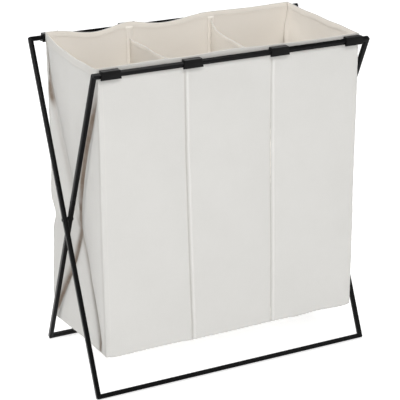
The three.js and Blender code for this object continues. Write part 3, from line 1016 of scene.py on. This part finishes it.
def seam_fin(name, path, out, along_cloth, width=0.0042, thickness=0.0017):
    """A turned seam that stands out from a corner: a flat rounded fin swept along the edge."""
    outline = []
    for k in range(FIN_POINTS):
        a = 2 * math.pi * k / FIN_POINTS
        outline.append((0.5 * width * blunt_cosine(a, 0.6), 0.5 * thickness * math.sin(a)))
    length = lengths_along(path)
    wave = 0.0003 * wobble(length, length * 0, 0.03, 1, len(name))
    sections = []
    for k in range(len(path)):
        o = out[k] / np.linalg.norm(out[k])
        t = along_cloth[k] / np.linalg.norm(along_cloth[k])
        b = np.cross(o, t)
        sections.append([o * (a + wave[k]) + b * c for a, c in outline])
    fin = sweep(name, path, sections)
    return dress(fin, cloth)


def add_corner_seam(side, end):
    """Turned seam down one upright corner of the bag, and a row of stitches beside it on the panel."""
    name = f"{END_NAMES[end]}_{SIDE_NAMES[side]}_corner_seam"
    facing = (0.0, float(end), 0.0)
    z = steps(EDGE_Z[end] + 0.001, HEM_BOTTOM - 0.004, 0.005)
    inset = edge_inset(side, end, z)
    x = side * (HALF_WIDTH - CORNER * 0.30 - inset)
    y = end * np.full_like(z, SHEET_Y - CORNER * 0.30)
    path = np.stack([x, y, z], 1)
    out = np.tile((float(side), float(end), 0.0), (len(z), 1))
    up = np.tile((0.0, 0.0, 1.0), (len(z), 1))
    fin = seam_fin(name, path, out, up)
    hang(fin)
    on_panel = side * (HALF_WIDTH - 0.0085)
    line_x = on_panel - side * inset * (abs(on_panel) / HALF_WIDTH) ** 6
    line_y = panel_y(np.full_like(z, on_panel), z, end) + end * CLOTH / 2
    line = np.stack([line_x, line_y, z], 1)
    sewn = stitches(f"{name}_stitches", [(line, np.tile(facing, (len(z), 1)))])
    hang(sewn)
    return [fin, sewn]


def add_divider_seam(side, end):
    """Where a divider is sewn to the front or back: two rows of stitches outside, and a tape inside."""
    name = f"{END_NAMES[end]}_{SIDE_NAMES[side]}_divider_seam"
    z = steps(EDGE_Z[end] + 0.004, HEM_BOTTOM - 0.002, 0.005)
    x = np.full_like(z, side * DIVIDER_X)
    rows = []
    for offset in (-0.0052, 0.0066):
        line_x = x + offset
        y = panel_y(line_x, z, end) + end * CLOTH / 2
        out = np.tile((0.0, float(end), 0.0), (len(z), 1))
        rows.append((np.stack([line_x - seam_lean(line_x, z, end), y, z], 1), out))
    sewn = stitches(f"{name}_stitches", rows)
    hang(sewn)
    tape_top = HEM_TOP + HEM_OVER_CLIP[end] - INNER_HEM + 0.001  # just under the hem's inner flap
    z = steps(EDGE_Z[end] + 0.006, tape_top, 0.005)
    x = np.full_like(z, side * DIVIDER_X)
    y = panel_y(x, z, end) - end * (CLOTH / 2 + 0.0010)
    x = x - seam_lean(x, z, end)
    sections = []
    for height in z:
        lift = 0.0003 * math.sin(height * 140 + side)
        ring = []
        for a in np.linspace(0, 2 * math.pi, TAPE_POINTS, endpoint=False):
            wide = TAPE * blunt_cosine(a, 0.7)
            deep = 0.0006 * math.sin(a) - 0.0006 * (wide / TAPE) ** 2 + lift
            ring.append((wide, -end * deep, 0.0))
        sections.append(ring)
    tape = sweep(f"{name}_tape", np.stack([x, y, z], 1), sections)
    # The tape gets the inside cloth's painted bounce light.
    dress(tape, inside_cloth_painted_bounce)
    hang(tape)
    return [sewn, tape]


def add_bottom_seam(end):
    """Turned seam along the lower edge of the front or back."""
    x = steps(-HALF_WIDTH + 0.004, HALF_WIDTH - 0.004, 0.005)
    z = bottom_edge(x, end) + 0.0006
    y = np.full_like(x, end * (SHEET_Y - 0.0008)) + end * 0.6 * BELLY * 0.4
    path = np.stack([x, y, z], 1)
    out = np.tile((0.0, 0.35 * end, -1.0), (len(x), 1))
    along_x = np.tile((1.0, 0.0, 0.0), (len(x), 1))
    fin = seam_fin(f"{END_NAMES[end]}_bottom_seam", path, out, along_x, width=0.0030, thickness=0.0016)
    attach(fin, BAG_OF[end])
    return fin


def add_side_bottom_seam(side):
    y = steps(-SHEET_Y + 0.003, SHEET_Y - 0.003, 0.005)
    z = side_bottom(y) + 0.0006
    x = side_x(y, z, side)
    path = np.stack([x, y, z], 1)
    out = np.tile((0.35 * side, 0.0, -1.0), (len(y), 1))
    along_y = np.tile((0.0, 1.0, 0.0), (len(y), 1))
    fin = seam_fin(f"{SIDE_NAMES[side]}_bottom_seam", path, out, along_y, width=0.0030, thickness=0.0016)
    flatten(fin)
    return fin


def add_bag():
    """Every piece of the bag, each sheet made with the hems, seams and stitches sewn to it."""
    for end in (-1, 1):
        panel = add_panel(end)
        trim = add_end_hem(end)
        for side in (-1, 1):
            trim += add_corner_seam(side, end)
            trim += add_divider_seam(side, end)
        trim.append(add_bottom_seam(end))
    for side in (-1, 1):
        piece, length = add_side(side)
        trim = add_side_hem(side) + [add_side_bottom_seam(side)]
        divider, trim, length = add_divider(side)
    base = add_base()


# ---------------------------------------------------------------- the carried-over CAD nodes
SHARP_ANGLE = math.radians(32)


def finish_cad_node(node, material):
    """Gives a CAD node its material and smooth shading over its rounded edges."""
    node.data.materials.clear()
    node.data.materials.append(material)
    modifier = node.modifiers.new("smooth_rounds", "NODES")
    modifier.node_group = smooth_rounds_group(SHARP_ANGLE)


def smooth_rounds_group(angle):
    """Geometry nodes that shade a faceted mesh smoothly, but for edges that bend more than an angle."""
    name = "smooth_rounds"
    if name in bpy.data.node_groups:
        return bpy.data.node_groups[name]
    group = bpy.data.node_groups.new(name, "GeometryNodeTree")
    group.interface.new_socket("Geometry", in_out="INPUT", socket_type="NodeSocketGeometry")
    group.interface.new_socket("Geometry", in_out="OUTPUT", socket_type="NodeSocketGeometry")
    nodes, links = group.nodes, group.links
    source, sink = nodes.new("NodeGroupInput"), nodes.new("NodeGroupOutput")
    weld = nodes.new("GeometryNodeMergeByDistance")
    weld.inputs["Distance"].default_value = 1e-6
    faces = nodes.new("GeometryNodeSetShadeSmooth")
    edges = nodes.new("GeometryNodeSetShadeSmooth")
    edges.domain = "EDGE"
    edges.inputs["Shade Smooth"].default_value = False
    bend = nodes.new("GeometryNodeInputMeshEdgeAngle")
    sharp = nodes.new("FunctionNodeCompare")
    sharp.operation = "GREATER_THAN"
    sharp.inputs[1].default_value = angle
    links.new(source.outputs[0], weld.inputs["Geometry"])
    links.new(weld.outputs[0], faces.inputs["Geometry"])
    links.new(faces.outputs[0], edges.inputs["Geometry"])
    links.new(bend.outputs["Unsigned Angle"], sharp.inputs[0])
    links.new(sharp.outputs[0], edges.inputs["Selection"])
    links.new(edges.outputs[0], sink.inputs[0])
    return group


def finish_cad_nodes():
    finishes = {
        "rail": powder_coat,
        "leg": powder_coat,
        "clip": clip_plastic,
        "rivet": rivet_steel,
        "washer": washer_plastic,
    }
    for name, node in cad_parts.items():
        kind = name.rsplit("_", 1)[-1]
        if kind in finishes:
            finish_cad_node(node, finishes[kind])


add_camera()
add_studio()
add_floor()
finish_cad_nodes()
add_bag()
